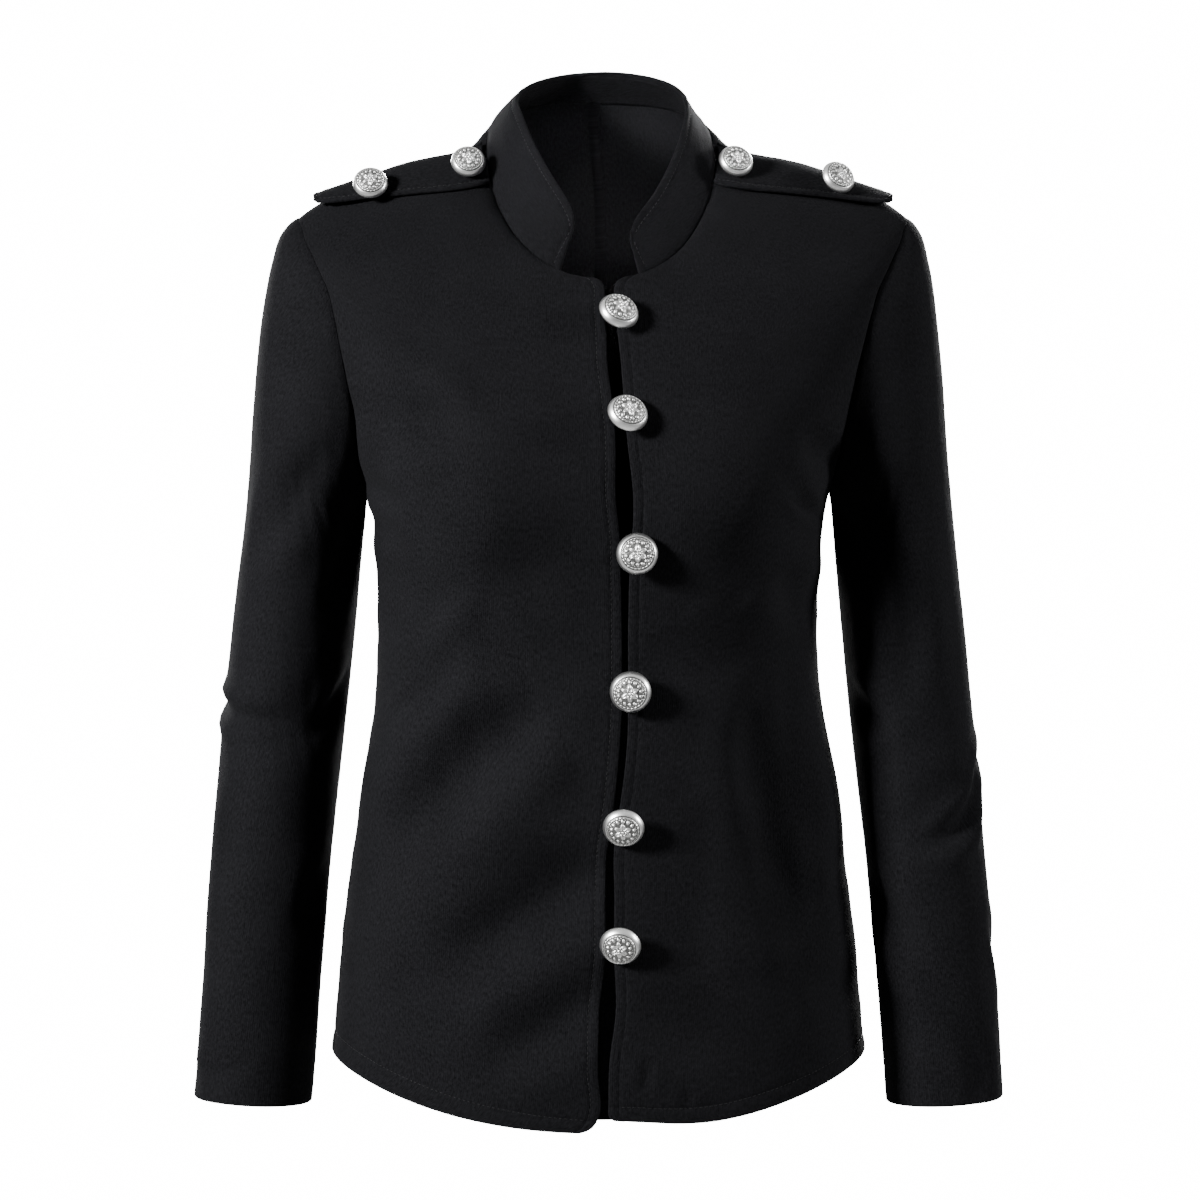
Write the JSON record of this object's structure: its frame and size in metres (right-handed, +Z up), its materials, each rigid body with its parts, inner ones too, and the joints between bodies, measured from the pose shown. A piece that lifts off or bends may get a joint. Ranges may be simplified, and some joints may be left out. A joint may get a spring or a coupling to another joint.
{
  "type": "military jacket",
  "caption": "Fitted black jacket filled out as worn, with an open band collar, fronts that meet edge to edge, shoulder straps, long set-in sleeves and domed silver buttons.",
  "frame": {"origin": "midway between the two points where the neck seam meets the shoulder seams, where the wearer's shoulders hold the jacket up", "axes": "+X to the wearer's left, -Y to the front, +Z up"},
  "size_m": [0.5254, 0.262, 0.705],
  "materials": {
    "front_right": "matte black cloth with a fine vertical rib",
    "front_left": "matte black cloth with a fine vertical rib",
    "back_right": "matte black cloth with a fine vertical rib",
    "back_left": "matte black cloth with a fine vertical rib",
    "sleeve_right": "matte black cloth with a fine vertical rib",
    "sleeve_left": "matte black cloth with a fine vertical rib",
    "collar": "matte black cloth with a fine vertical rib",
    "strap_right": "matte black cloth with a fine vertical rib",
    "strap_left": "matte black cloth with a fine vertical rib",
    "front_button_1": "silver-coloured metal with a low relief",
    "front_button_2": "silver-coloured metal with a low relief",
    "front_button_3": "silver-coloured metal with a low relief",
    "front_button_4": "silver-coloured metal with a low relief",
    "front_button_5": "silver-coloured metal with a low relief",
    "front_button_6": "silver-coloured metal with a low relief",
    "strap_button_right_inner": "silver-coloured metal with a low relief",
    "strap_button_right_outer": "silver-coloured metal with a low relief",
    "strap_button_left_inner": "silver-coloured metal with a low relief",
    "strap_button_left_outer": "silver-coloured metal with a low relief"
  },
  "bodies": {
    "root": {"front_right": "front_right", "front_left": "front_left", "back_right": "back_right", "back_left": "back_left", "sleeve_right": "sleeve_right", "sleeve_left": "sleeve_left", "collar": "collar", "strap_right": "strap_right", "strap_left": "strap_left", "front_button_1": "front_button_1", "front_button_2": "front_button_2", "front_button_3": "front_button_3", "front_button_4": "front_button_4", "front_button_5": "front_button_5", "front_button_6": "front_button_6", "strap_button_right_inner": "strap_button_right_inner", "strap_button_right_outer": "strap_button_right_outer", "strap_button_left_inner": "strap_button_left_inner", "strap_button_left_outer": "strap_button_left_outer"}
  },
  "joints": []
}
